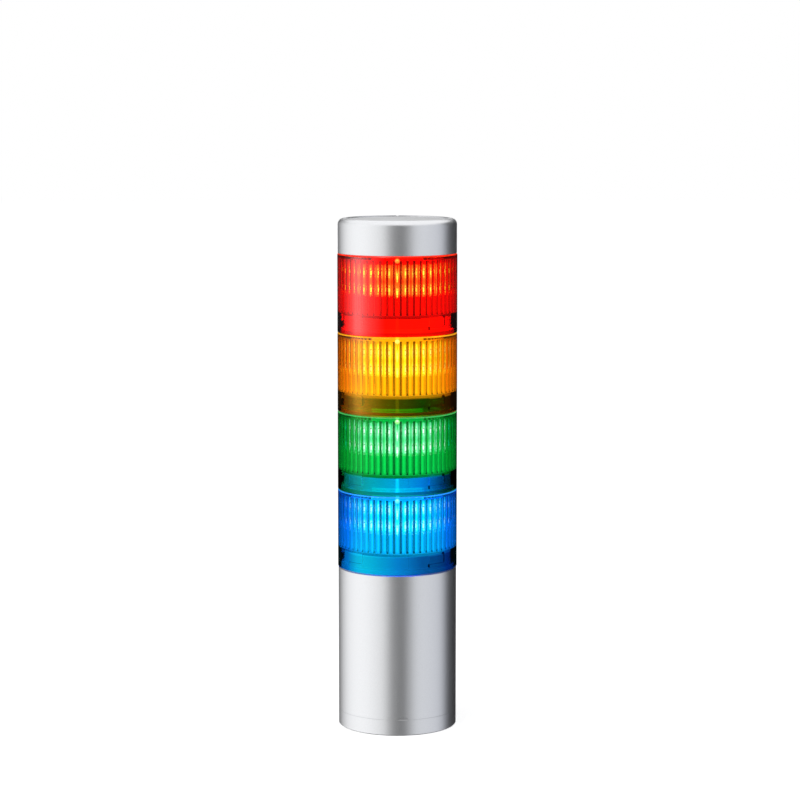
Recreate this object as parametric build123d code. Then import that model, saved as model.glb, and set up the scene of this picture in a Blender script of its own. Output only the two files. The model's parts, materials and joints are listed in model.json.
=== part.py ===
from build123d import *
import os
from math import cos, pi, radians, sin

# Four-tier LED stack light, all sizes in millimetres.
# The origin is the centre of the foot, +Z is up and the viewer stands on the -Y side.
# Angles round the tower are counted from the viewer's side, growing towards +X.

# Overall sizes
outer_radius = 30.0
silver_inset = 0.25
body_height = 81.0
unit_pitch = 39.5
head_height = 17.6
unit_names = ["blue", "green", "amber", "red"]
seam_gap = 0.15
edge_chamfer = 0.35
base_seam_chamfer = 0.1
FRONT = -90.0

# Bayonet between one piece and the next
lug_count = 4
twist_angle = 21.0
lug_width_angle = 18.5
slot_first_angle = 11.0
slot_side_angle = 2.0
slot_stop_angle = 0.8
collar_height = 3.0
skirt_rebate_depth = 3.2
slot_ledge = 1.6
lug_side_gap = 0.2
skirt_height = 10.5
skirt_wall = 3.0
slot_wall = 1.5
bayonet_clearance = 0.3
neck_wall = 1.8
neck_top_gap = 0.4
slot_corner_radius = 0.9

# Ribbed wall of a globe
rib_count = 54
rib_depth = 0.9
shoulder_thickness = 2.0
mark_width = 2.6
mark_height = 1.9
mark_depth = 0.35
bead_radius = 1.2
bead_proud = 0.35
bead_drop = 2.0

# LED holder and what it carries
led_count = 8
led_row_spacing = 8.3
led_top_row_drop = 9.0
led_width = 3.4
led_height = 2.9
led_thickness = 1.6
tower_flat_radius = 12.4
tower_wall = 1.6
tower_board_thickness = 0.8
tower_board_margin = 4.0
tower_cap_opening = 4.0
drum_rib_gap = 3.95
drum_wall = 1.6
drum_led_gap = 1.25
flange_thickness = 1.3
board_thickness = 1.6
board_edge_gap = 0.3
boss_radius = 2.3
screw_radius = 1.1
screw_head_radius = 2.1
screw_head_height = 1.3
head_top_share = 0.75
head_side_share = 0.55
screw_length = 6.0
screw_fit = 0.05
unit_screw_count = 3
driver_screw_inset = 2.1
driver_screw_first_angle = 30.0

# Contacts
contact_count = 6
pad_edge_gap = 4.5
pad_width = 3.0
pad_thickness = 0.25
pad_extra_angle = 9.0
pin_radius = 0.8
pin_gap = 0.1
board_rise = 4.0
neck_ledge = 1.5

# Head
head_edge_radius = 3.0
head_recess_depth = 0.5
head_rim_width = 4.2
head_wall = 2.2
rim_notch_width = 1.6

# Seal in the collar's groove
seal_height = 1.6
seal_depth = 1.4
seal_squeeze_gap = 0.15
seal_seat_gap = 0.02

# Body case and mounting base
base_height = 8.0
case_wall = 2.4
case_fit = 0.1
floor_thickness = 3.0
spigot_height = 4.5
spigot_wall = 1.8
key_width = 4.0
key_height = 1.0
key_clearance = 0.1
key_offset_angle = 5.5
gasket_thickness = 1.2
gasket_margin = 2.0
gasket_rim = 2.0
mount_inset = 8.0
mount_count = 3
insert_bore_radius = 2.0
insert_wall = 1.2
insert_length = 8.0
insert_boss_wall = 1.4
grommet_hole_radius = 7.0
grommet_bore_radius = 4.0
grommet_lip = 1.8
grommet_lip_height = 1.4
tie_head_gap = 0.4
tie_radius = 1.5
tie_head_radius = 2.8
tie_head_height = 2.4
tie_boss_radius = 3.6
tie_boss_height = 10.0
tie_grip = 7.5
mount_start_angle = 180.0
tie_start_angle = 0.0
neck_plug_depth = 8.0
neck_plate_thickness = 2.4
neck_plate_slot_fit = 0.8

# Main board and what it carries
main_board_side_gap = 2.7
main_board_top_gap = 4.8
main_board_lift = 9.0
guide_width = 4.0
guide_wall = 1.4
guide_grip = 2.4
guide_height = 16.0
guide_fit = 0.08
terminal_pitch = 6.0
terminal_depth = 9.0
terminal_height = 11.0
terminal_lift = 6.0
terminal_count = 6
terminal_screw_radius = 1.8
terminal_screw_height = 1.0
terminal_screw_lift = 6.8
terminal_entry_width = 3.6
terminal_entry_depth = 4.0
terminal_entry_height = 2.8
capacitor_radius = 4.5
capacitor_length = 11.0
capacitor_spacing = 11.0
capacitor_drop = 14.0
choke_size = 11.0
choke_height = 8.0
choke_lift = 9.0
header_length = 18.0
header_depth = 5.0
header_height = 8.0
header_pin_radius = 0.5
header_pin_spacing = 2.8

# Worked out from the sizes above
silver_radius = outer_radius - silver_inset
bore_radius = outer_radius - skirt_wall
slot_radius = outer_radius - slot_wall
neck_radius = bore_radius - bayonet_clearance
lug_radius = slot_radius - bayonet_clearance
neck_inner_radius = neck_radius - neck_wall
ledge_inner_radius = neck_inner_radius - neck_ledge
lug_bottom = skirt_rebate_depth + slot_ledge + lug_side_gap
lug_first_angle = slot_first_angle + slot_side_angle + twist_angle
entry_angle = lug_width_angle + 2 * slot_side_angle
slot_angle = lug_first_angle + lug_width_angle + slot_stop_angle - slot_first_angle
slot_top = skirt_height - bayonet_clearance
rib_valley_radius = bore_radius - bayonet_clearance / 2
rib_crest_radius = rib_valley_radius - rib_depth
flange_radius = bore_radius - board_edge_gap / 2
flange_top = skirt_height
flange_bottom = flange_top - flange_thickness
neck_height = flange_bottom - neck_top_gap
drum_radius = rib_crest_radius - drum_rib_gap
drum_inner_radius = drum_radius - drum_wall
upper_led_row = unit_pitch - led_top_row_drop
lower_led_row = upper_led_row - led_row_spacing
drum_top = lower_led_row - led_height / 2 - drum_led_gap
unit_screw_circle = tower_flat_radius - tower_wall - boss_radius
driver_screw_circle = drum_inner_radius - boss_radius - driver_screw_inset
contact_board_radius = neck_inner_radius - board_edge_gap
contact_board_bottom = unit_pitch + board_rise
contact_circle = contact_board_radius - pad_edge_gap - pad_width / 2
case_inner_radius = silver_radius - case_wall
insert_radius = insert_bore_radius + insert_wall
insert_boss_radius = insert_radius + insert_boss_wall
mount_circle_radius = outer_radius - mount_inset
gasket_inner_radius = mount_circle_radius - insert_boss_radius - gasket_margin
tie_circle_radius = ledge_inner_radius - tie_head_radius - tie_head_gap
spigot_radius = case_inner_radius - case_fit
spigot_inner_radius = spigot_radius - spigot_wall
plug_radius = case_inner_radius - case_fit
plate_bottom = body_height - neck_plug_depth
plate_top = plate_bottom + neck_plate_thickness
floor_bottom = gasket_thickness
floor_top = floor_bottom + floor_thickness
main_board_bottom = floor_top + main_board_lift
main_board_top = plate_bottom - main_board_top_gap
main_board_width = 2 * (spigot_inner_radius - main_board_side_gap)
terminal_bottom = main_board_bottom + terminal_lift
tower_height = body_height + unit_pitch * len(unit_names) + head_height


def revolved(points):
    """Solid turned about the tower's axis from points given as radius and height."""
    return revolve(Plane.XZ * make_face(Polyline(*points, close=True)), Axis.Z)


def ring(inner, outer, bottom, top):
    """Plain ring with square edges."""
    return revolved([(inner, bottom), (outer, bottom), (outer, top), (inner, top)])


def rod(radius, bottom, top, x=0.0, y=0.0):
    """Upright round bar."""
    return Pos(x, y, bottom) * extrude(Circle(radius), top - bottom)


def arc_bar(inner, outer, first, sweep, bottom, top):
    """Stretch of a ring, from one angle round the tower over a sweep."""
    outside = CenterArc((0, 0), outer, FRONT + first, sweep)
    inside = CenterArc((0, 0), inner, FRONT + first, sweep)
    sides = [Line(outside @ 0, inside @ 0), Line(outside @ 1, inside @ 1)]
    return Pos(0, 0, bottom) * extrude(make_face(Curve() + [outside, inside] + sides), top - bottom)


def round_the_tower(piece, count, first=0.0):
    """Copies of a piece at even steps about the tower's axis."""
    return [Rot(0, 0, first + 360.0 / count * i) * piece for i in range(count)]


def on_circle(radius, count, first=0.0):
    """Places on a circle, counted from the viewer's side."""
    angles = [radians(FRONT + first + 360.0 / count * i) for i in range(count)]
    return [(radius * cos(a), radius * sin(a)) for a in angles]


def bayonet_slots():
    """L-shaped slots in a skirt: the entry leg from below, and the run that the lug turns into."""
    entry = arc_bar(neck_inner_radius, slot_radius, slot_first_angle, entry_angle, 0, slot_top)
    run = arc_bar(neck_inner_radius, slot_radius, slot_first_angle, slot_angle,
                  skirt_rebate_depth + slot_ledge, slot_top)
    ends = run.edges().filter_by(GeomType.LINE).filter_by(Axis.Z, reverse=True)
    run = fillet(ends, slot_corner_radius)
    return round_the_tower(entry + run, lug_count)


def neck(shoulder):
    """Collar, seal groove, neck wall, inner ledge and lugs that stand on a shoulder."""
    groove_bottom = shoulder + (collar_height - seal_height) / 2
    groove_top = groove_bottom + seal_height
    collar_top = shoulder + collar_height
    ledge_top = shoulder + board_rise
    top = shoulder + neck_height
    wall = revolved([
        (ledge_inner_radius, shoulder), (lug_radius, shoulder), (lug_radius, groove_bottom),
        (lug_radius - seal_depth, groove_bottom), (lug_radius - seal_depth, groove_top),
        (lug_radius, groove_top), (lug_radius, collar_top), (neck_radius, collar_top),
        (neck_radius, top), (neck_inner_radius, top), (neck_inner_radius, ledge_top),
        (ledge_inner_radius, ledge_top)])
    lug = arc_bar(neck_radius - neck_wall / 2, lug_radius, lug_first_angle, lug_width_angle,
                  shoulder + lug_bottom, top)
    return wall + round_the_tower(lug, lug_count)


def neck_seal(shoulder):
    """Rubber ring in the collar's groove."""
    bottom = shoulder + (collar_height - seal_height) / 2 + seal_seat_gap
    top = bottom + seal_height - 2 * seal_seat_gap
    return ring(lug_radius - seal_depth + seal_seat_gap, lug_radius + seal_squeeze_gap, bottom, top)


def rib_hollow():
    """Space inside the ribbed wall: a ring of round-nosed ribs that point inwards."""
    step = 2 * pi / rib_count
    arcs = []
    for i in range(rib_count):
        spots = []
        for share, radius in ((-0.5, rib_valley_radius), (0, rib_crest_radius), (0.5, rib_valley_radius)):
            angle = radians(FRONT) + (i + share) * step
            spots.append((radius * cos(angle), radius * sin(angle)))
        arcs.append(ThreePointArc(*spots))
    height = unit_pitch - shoulder_thickness - skirt_height
    return Pos(0, 0, skirt_height) * extrude(make_face(Curve() + arcs), height)


def globe():
    """Clear moulding of one unit: skirt with slots, ribbed wall, shoulder and neck."""
    shell = revolved([
        (slot_radius, seam_gap), (outer_radius - edge_chamfer, seam_gap),
        (outer_radius, seam_gap + edge_chamfer), (outer_radius, unit_pitch - edge_chamfer),
        (outer_radius - edge_chamfer, unit_pitch), (ledge_inner_radius, unit_pitch),
        (ledge_inner_radius, skirt_height), (bore_radius, skirt_height),
        (bore_radius, skirt_rebate_depth), (slot_radius, skirt_rebate_depth)])
    bead = Pos(0, bead_radius - bead_proud - outer_radius, unit_pitch - bead_drop) * Sphere(bead_radius)
    low = skirt_height - mark_height - mark_depth
    triangle = Polyline((-mark_width / 2, low + mark_height), (mark_width / 2, low + mark_height),
                        (0, low), close=True)
    mark = Plane.XZ.offset(outer_radius - mark_depth) * extrude(make_face(triangle), 2 * mark_depth)
    return shell + neck(unit_pitch) + bead - rib_hollow() - bayonet_slots() - mark


def led_holder():
    """White moulding that carries the boards: flange, drum, eight-sided tower and screw bosses."""
    corner_radius = tower_flat_radius / cos(pi / led_count)
    inner_corner = (tower_flat_radius - tower_wall) / cos(pi / led_count)
    top = contact_board_bottom
    turn = 180.0 / led_count
    face = RegularPolygon(corner_radius, led_count, rotation=turn)
    hollow = RegularPolygon(inner_corner, led_count, rotation=turn)
    drum = revolved([
        (drum_inner_radius, flange_bottom), (flange_radius, flange_bottom), (flange_radius, flange_top),
        (drum_radius, flange_top), (drum_radius, drum_top), (tower_flat_radius - tower_wall, drum_top),
        (tower_flat_radius - tower_wall, drum_top - drum_wall), (drum_inner_radius, drum_top - drum_wall)])
    tower = Pos(0, 0, drum_top) * extrude(face - hollow, top - drum_top)
    cap = Pos(0, 0, top - tower_wall) * extrude(face - Circle(tower_cap_opening), tower_wall)
    holder = drum + tower + cap
    for x, y in on_circle(unit_screw_circle, unit_screw_count):
        holder += rod(boss_radius, top - screw_length, top, x, y)
        holder -= rod(screw_radius + screw_fit, top - screw_length, top, x, y)
    for x, y in on_circle(driver_screw_circle, unit_screw_count, driver_screw_first_angle):
        holder += rod(boss_radius, driver_board_top(), drum_top - drum_wall, x, y)
        holder -= rod(screw_radius + screw_fit, driver_board_top(), drum_top - drum_wall, x, y)
    return holder


def driver_board_top():
    """Height of the driver board's upper face, just inside the drum's mouth."""
    return flange_top + board_thickness


def led_board():
    """Board wrapped round the eight-sided tower."""
    inner = tower_flat_radius / cos(pi / led_count)
    outer = (tower_flat_radius + tower_board_thickness) / cos(pi / led_count)
    turn = 180.0 / led_count
    face = RegularPolygon(outer, led_count, rotation=turn) - RegularPolygon(inner, led_count, rotation=turn)
    top = upper_led_row + tower_board_margin
    return Pos(0, 0, drum_top) * extrude(face, top - drum_top)


def led_chips():
    """Two rows of LEDs, one on each flat of the tower."""
    radius = tower_flat_radius + tower_board_thickness + led_thickness / 2
    chips = []
    for height in (upper_led_row, lower_led_row):
        chip = Pos(0, -radius, height) * Box(led_width, led_thickness, led_height)
        chips += round_the_tower(chip, led_count)
    return chips


def screw(radius, head_radius, head_height, length):
    """Pan-head screw that points down, with its head's underside at height zero."""
    head = revolved([(0, 0), (head_radius, 0), (head_radius, head_height * head_side_share),
                     (head_radius * head_top_share, head_height), (0, head_height)])
    return head + rod(radius, -length, 0)


def board_screw():
    """Small screw that holds a board."""
    return screw(screw_radius, screw_head_radius, screw_head_height, screw_length)


def drilled_disc(radius, bottom, places):
    """Round board with screw holes."""
    board = rod(radius, bottom, bottom + board_thickness)
    for x, y in places:
        board -= rod(screw_radius + screw_fit, bottom, bottom + board_thickness, x, y)
    return board


def driver_board():
    """Board in the drum's mouth, carrying the contact pins."""
    board = drilled_disc(drum_inner_radius - board_edge_gap, flange_top,
                         on_circle(driver_screw_circle, unit_screw_count, driver_screw_first_angle))
    for x, y in on_circle(contact_circle, contact_count):
        board -= rod(pin_radius + screw_fit, flange_top, flange_top + board_thickness, x, y)
    return board


def contact_pins():
    """Pins under the driver board that bear on the pads of the piece below."""
    bottom = board_rise + board_thickness + pad_thickness + pin_gap
    return [rod(pin_radius, bottom, flange_top + board_thickness, x, y)
            for x, y in on_circle(contact_circle, contact_count)]


def contact_board(shoulder):
    """Board on the neck's inner ledge, with the pads on top."""
    places = on_circle(unit_screw_circle, unit_screw_count)
    return drilled_disc(contact_board_radius, shoulder + board_rise, places)


def contact_pads(shoulder):
    """Curved pads on which the pins of the unit above slide while it is turned."""
    bottom = shoulder + board_rise + board_thickness
    sweep = twist_angle + pad_extra_angle
    inner = contact_circle - pad_width / 2
    pad = arc_bar(inner, inner + pad_width, -pad_extra_angle / 2, sweep, bottom, bottom + pad_thickness)
    return round_the_tower(pad, contact_count)


def unit_screws():
    """Screws of the contact board, and those of the driver board from below."""
    top = contact_board_bottom + board_thickness
    upper = [Pos(x, y, top) * board_screw() for x, y in on_circle(unit_screw_circle, unit_screw_count)]
    flipped = Rot(180, 0, 0) * board_screw()
    places = on_circle(driver_screw_circle, unit_screw_count, driver_screw_first_angle)
    return upper + [Pos(x, y, flange_top) * flipped for x, y in places]


def head_cover():
    """Closed silver head with the same bayonet skirt as a globe, and a shallow recess in its top."""
    curve_start = head_height - head_edge_radius
    rim_inner = silver_radius - head_rim_width
    inside_top = head_height - head_recess_depth - head_wall
    outline = Curve() + [
        Line((slot_radius, seam_gap), (silver_radius - edge_chamfer, seam_gap)),
        Line((silver_radius - edge_chamfer, seam_gap), (silver_radius, seam_gap + edge_chamfer)),
        Line((silver_radius, seam_gap + edge_chamfer), (silver_radius, curve_start)),
        CenterArc((silver_radius - head_edge_radius, curve_start), head_edge_radius, 0, 90),
        Polyline((silver_radius - head_edge_radius, head_height), (rim_inner, head_height),
                 (rim_inner, head_height - head_recess_depth), (0, head_height - head_recess_depth),
                 (0, inside_top), (rib_crest_radius, inside_top), (rib_crest_radius, skirt_height),
                 (bore_radius, skirt_height), (bore_radius, skirt_rebate_depth),
                 (slot_radius, skirt_rebate_depth), (slot_radius, seam_gap))]
    shell = revolve(Plane.XZ * make_face(outline), Axis.Z)
    wedge = Polyline((-rim_notch_width / 2, head_height), (rim_notch_width / 2, head_height),
                     (0, head_height - head_recess_depth), close=True)
    notch = Plane.XZ.offset(-silver_radius) * extrude(make_face(wedge), 2 * head_rim_width)
    return shell - bayonet_slots() - notch


def body_case():
    """Silver tube of the body, with a notch that fits over the base's key."""
    tube = revolved([
        (case_inner_radius, base_height), (silver_radius - base_seam_chamfer, base_height),
        (silver_radius, base_height + base_seam_chamfer), (silver_radius, body_height - edge_chamfer),
        (silver_radius - edge_chamfer, body_height), (case_inner_radius, body_height)])
    notch = Pos(0, -silver_radius, base_height) * Box(
        key_width + 2 * key_clearance, 3 * case_wall, 2 * (key_height + key_clearance))
    return tube - Rot(0, 0, key_offset_angle) * notch


def body_neck():
    """Grey moulding that closes the body: plug, plate, bosses, collar and neck with lugs."""
    plug = revolved([
        (0, plate_bottom), (plug_radius, plate_bottom), (plug_radius, body_height),
        (ledge_inner_radius, body_height), (ledge_inner_radius, plate_top), (0, plate_top)])
    pins_length = header_pin_spacing * (contact_count - 1)
    slot_width = 2 * (header_pin_radius + neck_plate_slot_fit)
    pin_slot = Pos(0, header_y(), plate_bottom + neck_plate_thickness / 2) * Box(
        pins_length + slot_width, slot_width, neck_plate_thickness)
    moulding = plug + neck(body_height) - pin_slot
    for x, y in on_circle(tie_circle_radius, mount_count, tie_start_angle):
        moulding -= rod(tie_radius + screw_fit, plate_bottom, plate_top, x, y)
    post_top = body_height + board_rise
    for x, y in on_circle(unit_screw_circle, unit_screw_count):
        moulding += rod(boss_radius, plate_bottom, post_top, x, y)
        moulding -= rod(screw_radius + screw_fit, post_top - screw_length, post_top, x, y)
    return moulding


def mounting_base():
    """Foot of the tower: outer ring, floor, spigot, insert and tie-screw bosses, board guides and key."""
    gasket_outer = silver_radius - gasket_rim
    lip_radius = grommet_hole_radius + grommet_lip
    foot = revolved([
        (gasket_outer, 0), (silver_radius - edge_chamfer, 0), (silver_radius, edge_chamfer),
        (silver_radius, base_height - base_seam_chamfer), (silver_radius - base_seam_chamfer, base_height),
        (spigot_radius, base_height), (spigot_radius, base_height + spigot_height),
        (spigot_inner_radius, base_height + spigot_height), (spigot_inner_radius, floor_top),
        (grommet_hole_radius, floor_top), (grommet_hole_radius, grommet_lip_height),
        (lip_radius, grommet_lip_height), (lip_radius, 0), (gasket_inner_radius, 0),
        (gasket_inner_radius, gasket_thickness), (gasket_outer, gasket_thickness)])
    for x, y in on_circle(mount_circle_radius, mount_count, mount_start_angle):
        foot += rod(insert_boss_radius, 0, insert_length + insert_boss_wall, x, y)
        foot -= rod(insert_radius, 0, insert_length, x, y)
    for x, y in on_circle(tie_circle_radius, mount_count, tie_start_angle):
        foot += rod(tie_boss_radius, floor_bottom, floor_top + tie_boss_height, x, y)
        foot -= rod(tie_radius + screw_fit, floor_top, floor_top + tie_boss_height, x, y)
    for side in (-1, 1):
        foot += board_guide(side)
    key = arc_bar(spigot_radius - spigot_wall / 2, silver_radius - base_seam_chamfer, -key_sweep() / 2,
                  key_sweep(), base_height - base_seam_chamfer, base_height + key_height)
    return foot + Rot(0, 0, key_offset_angle) * key


def key_sweep():
    """Angle that the key takes up on the rim."""
    return key_width / silver_radius * 180.0 / pi


def board_guide(side):
    """Post on the base's floor with a slot for one edge of the main board."""
    depth = board_thickness + 2 * (guide_fit + guide_wall)
    edge = side * main_board_width / 2
    inner = edge - side * guide_grip
    outer = inner + side * guide_width
    middle = (inner + outer) / 2
    post = Pos(middle, 0, floor_top + guide_height / 2) * Box(guide_width, depth, guide_height)
    slot_height = guide_height - main_board_lift
    slot_width = guide_grip + guide_fit
    slot = Pos(inner + side * slot_width / 2, 0, main_board_bottom + slot_height / 2) * Box(
        slot_width, board_thickness + 2 * guide_fit, slot_height)
    return post - slot


def base_gasket():
    """Flat rubber gasket in the recess under the base, holed for the insert bosses."""
    sheet = ring(gasket_inner_radius, silver_radius - gasket_rim, 0, gasket_thickness)
    for x, y in on_circle(mount_circle_radius, mount_count, mount_start_angle):
        sheet -= rod(insert_boss_radius + case_fit, 0, gasket_thickness, x, y)
    return sheet


def mount_inserts():
    """Brass inserts that take the mounting bolts from below."""
    return [rod(insert_radius, 0, insert_length, x, y) - rod(insert_bore_radius, 0, insert_length, x, y)
            for x, y in on_circle(mount_circle_radius, mount_count, mount_start_angle)]


def cable_grommet():
    """Rubber grommet in the base's hole, the tower's cable inlet."""
    lip_radius = grommet_hole_radius + grommet_lip
    top = floor_top + grommet_lip_height
    return revolved([
        (grommet_bore_radius, 0), (lip_radius, 0), (lip_radius, grommet_lip_height),
        (grommet_hole_radius, grommet_lip_height), (grommet_hole_radius, floor_top),
        (lip_radius, floor_top), (lip_radius, top - grommet_lip / 2),
        (lip_radius - grommet_lip / 2, top), (grommet_bore_radius, top)])


def tie_screws():
    """Long screws that clamp the case between the neck's plate and the base."""
    length = plate_top - floor_top - tie_boss_height + tie_grip
    return [Pos(x, y, plate_top) * screw(tie_radius, tie_head_radius, tie_head_height, length)
            for x, y in on_circle(tie_circle_radius, mount_count, tie_start_angle)]


def board_face():
    """Distance of the main board's faces from the tower's axis."""
    return board_thickness / 2


def main_board():
    """Upright board that stands in the guides."""
    height = main_board_top - main_board_bottom
    return Pos(0, 0, main_board_bottom + height / 2) * Box(main_board_width, board_thickness, height)


def terminal_block():
    """Screw terminals on the viewer's side of the board, with wire entries below."""
    block = Pos(0, -board_face() - terminal_depth / 2, terminal_bottom + terminal_height / 2) * Box(
        terminal_pitch * terminal_count, terminal_depth, terminal_height)
    well_floor = Plane.XZ.offset(board_face() + terminal_depth - 2 * terminal_screw_height)
    well = extrude(Circle(terminal_screw_radius + screw_fit), 2 * terminal_screw_height)
    entry = Pos(0, -board_face() - terminal_depth / 2, terminal_bottom + terminal_entry_height / 2) * Box(
        terminal_entry_width, terminal_entry_depth, terminal_entry_height)
    for i in range(terminal_count):
        x = (i - (terminal_count - 1) / 2) * terminal_pitch
        block -= well_floor * Pos(x, terminal_bottom + terminal_screw_lift) * well
        block -= Pos(x, 0, 0) * entry
    return block


def terminal_screws():
    """Clamping screws in the wells of the terminal block."""
    face = Plane.XZ.offset(board_face() + terminal_depth - 2 * terminal_screw_height)
    screws = []
    for i in range(terminal_count):
        x = (i - (terminal_count - 1) / 2) * terminal_pitch
        screws.append(face * Pos(x, terminal_bottom + terminal_screw_lift) * extrude(
            Circle(terminal_screw_radius), terminal_screw_height))
    return screws


def capacitors():
    """Two smoothing capacitors on the far side of the board."""
    height = main_board_top - capacitor_drop
    plane = Plane.XZ.offset(-board_face() - capacitor_length)
    can = extrude(Circle(capacitor_radius), capacitor_length)
    return [plane * Pos(side * capacitor_spacing / 2, height) * can for side in (-1, 1)]


def choke():
    """Square suppression choke on the far side of the board."""
    height = main_board_bottom + choke_lift
    return Pos(0, board_face() + choke_height / 2, height) * Box(choke_size, choke_height, choke_size)


def header_y():
    """Distance of the header's pins from the tower's axis, towards the viewer."""
    return -board_face() - header_depth / 2


def line_header():
    """Header at the board's top, whose pins carry the lines up to the contact board."""
    top = main_board_top
    header = Pos(0, header_y(), top - header_height / 2) * Box(header_length, header_depth, header_height)
    for i in range(contact_count):
        x = (i - (contact_count - 1) / 2) * header_pin_spacing
        header += rod(header_pin_radius, top, body_height + board_rise, x, header_y())
    return header


def write(name, shape):
    """One STEP file for one named piece or group of like pieces."""
    solids = shape if isinstance(shape, list) else [shape]
    model = Compound(children=[solid for item in solids for solid in item.solids()])
    export_step(model, f"parts/{name}.step")


os.makedirs("parts", exist_ok=True)

body_pieces = {
    "mounting_base": mounting_base(),
    "base_gasket": base_gasket(),
    "mount_inserts": mount_inserts(),
    "cable_grommet": cable_grommet(),
    "body_case": body_case(),
    "body_neck": body_neck(),
    "tie_screws": tie_screws(),
    "main_board": main_board(),
    "terminal_block": terminal_block(),
    "terminal_screws": terminal_screws(),
    "capacitors": capacitors(),
    "choke": choke(),
    "line_header": line_header(),
    "body_contact_board": contact_board(body_height),
    "body_contact_pads": contact_pads(body_height),
    "body_board_screws": [Pos(x, y, body_height + board_rise + board_thickness) * board_screw()
                          for x, y in on_circle(unit_screw_circle, unit_screw_count)],
    "body_seal": neck_seal(body_height),
}

unit_pieces = {
    "globe": globe(),
    "led_holder": led_holder(),
    "led_board": led_board(),
    "led_chips": led_chips(),
    "driver_board": driver_board(),
    "contact_pins": contact_pins(),
    "contact_board": contact_board(unit_pitch),
    "contact_pads": contact_pads(unit_pitch),
    "screws": unit_screws(),
    "seal": neck_seal(unit_pitch),
}

for name, shape in body_pieces.items():
    write(name, shape)

for level, colour in enumerate(unit_names):
    lift = Pos(0, 0, body_height + level * unit_pitch)
    for name, shape in unit_pieces.items():
        copies = shape if isinstance(shape, list) else [shape]
        write(f"{colour}_{name}", [lift * copy for copy in copies])

write("head_cover", Pos(0, 0, body_height + unit_pitch * len(unit_names)) * head_cover())

print(f"tower {tower_height:.1f} mm tall, {2 * outer_radius:.1f} mm across")
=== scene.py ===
import json
import math

import bmesh
import bpy
from mathutils import Matrix, Vector

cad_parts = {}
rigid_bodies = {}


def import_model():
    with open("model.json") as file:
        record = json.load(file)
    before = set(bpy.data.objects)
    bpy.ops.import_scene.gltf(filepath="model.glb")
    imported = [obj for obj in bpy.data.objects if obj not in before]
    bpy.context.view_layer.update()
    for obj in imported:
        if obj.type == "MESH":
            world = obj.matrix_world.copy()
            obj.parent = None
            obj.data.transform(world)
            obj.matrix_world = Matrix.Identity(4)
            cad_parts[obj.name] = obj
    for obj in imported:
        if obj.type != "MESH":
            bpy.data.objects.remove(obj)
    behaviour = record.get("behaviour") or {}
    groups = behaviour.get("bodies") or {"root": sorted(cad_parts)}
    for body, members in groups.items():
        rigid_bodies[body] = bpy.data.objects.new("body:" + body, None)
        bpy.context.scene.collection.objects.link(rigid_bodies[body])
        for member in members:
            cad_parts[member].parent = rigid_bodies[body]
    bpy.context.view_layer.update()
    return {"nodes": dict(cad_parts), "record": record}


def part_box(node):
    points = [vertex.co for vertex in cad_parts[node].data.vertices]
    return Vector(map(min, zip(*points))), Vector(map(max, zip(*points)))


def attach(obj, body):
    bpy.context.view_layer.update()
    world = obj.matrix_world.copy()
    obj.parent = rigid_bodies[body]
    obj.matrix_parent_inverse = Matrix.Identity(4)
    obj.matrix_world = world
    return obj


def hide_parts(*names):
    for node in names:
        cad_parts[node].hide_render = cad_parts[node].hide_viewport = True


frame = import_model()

bl_info = {
    "name": "Four-tier stack light",
    "version": (1, 0, 0),
    "blender": (4, 5, 0),
    "location": "View3D > Sidebar > Stack light",
    "description": "Dresses a packed stack light: clear ribbed globes, lit LEDs, silver head and body",
    "category": "Add Mesh",
}

TIERS = ("blue", "green", "amber", "red")
SILVER_NODES = ("head_cover", "body_case", "mounting_base")
BODY_OF = {node: body for body, nodes in frame["record"]["behaviour"]["bodies"].items() for node in nodes}
MM = 0.001


def linear(hex_colour):
    """Linear RGB of an sRGB hex colour."""
    shares = [int(hex_colour[i:i + 2], 16) / 255 for i in (1, 3, 5)]
    return tuple(s / 12.92 if s <= 0.04045 else ((s + 0.055) / 1.055) ** 2.4 for s in shares)


# Sizes and colours that a user would change


def tint(name, hex_colour, description):
    """Colour property with an sRGB hex default."""
    return bpy.props.FloatVectorProperty(
        name=name, description=description, subtype="COLOR", size=3, min=0, max=1, default=linear(hex_colour))


def amount(name, default, description, top=100.0):
    """Plain number property."""
    return bpy.props.FloatProperty(name=name, description=description, default=default, min=0, max=top)


def length(name, default, description):
    """Size in metres."""
    return bpy.props.FloatProperty(
        name=name, description=description, default=default, min=0, subtype="DISTANCE", unit="LENGTH")


class GlobeSettings(bpy.types.PropertyGroup):
    red: tint("Red globe", "#ff120a", "Tint of the red polycarbonate")
    amber: tint("Amber globe", "#f9c426", "Tint of the amber polycarbonate")
    green: tint("Green globe", "#19cc65", "Tint of the green polycarbonate")
    blue: tint("Blue globe", "#19c4f2", "Tint of the blue polycarbonate")
    # Strength of the painted glow on the globes' ribs, rims and necks, on the seals and on the body's neck
    painted_edge_glow: amount("Edge light", 4.0, "Glow that the clear mouldings lead to ribs, shoulders and necks")
    roughness: amount("Roughness", 0.035, "How far the moulded faces blur what is behind them", 1.0)
    ripple: length("Moulding ripple", 6 * MM, "Distance between the shallow waves of the moulded wall")


class LedSettings(bpy.types.PropertyGroup):
    chip_glow: amount("Chip glow", 1.0, "Light of an LED's lens")
    # Strength of the painted glow on the LED boards about each LED
    board_painted_glow: amount("Board glow", 1.0, "Light that the LED boards scatter back")
    # Strength of the painted glow on the white holders
    holder_glow: amount("Holder glow", 0.9, "Light that the white holders scatter back")
    dome_height: length("Dome height", 0.45 * MM, "Height of an LED's lens over its frame")


class SilverSettings(bpy.types.PropertyGroup):
    paint: tint("Silver lacquer", "#c6c7c9", "Colour of the silver lacquer")
    roughness: amount("Roughness", 0.36, "Blur of the lacquer's reflections", 1.0)
    flake: length("Flake size", 0.4 * MM, "Size of the lacquer's flakes")


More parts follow.
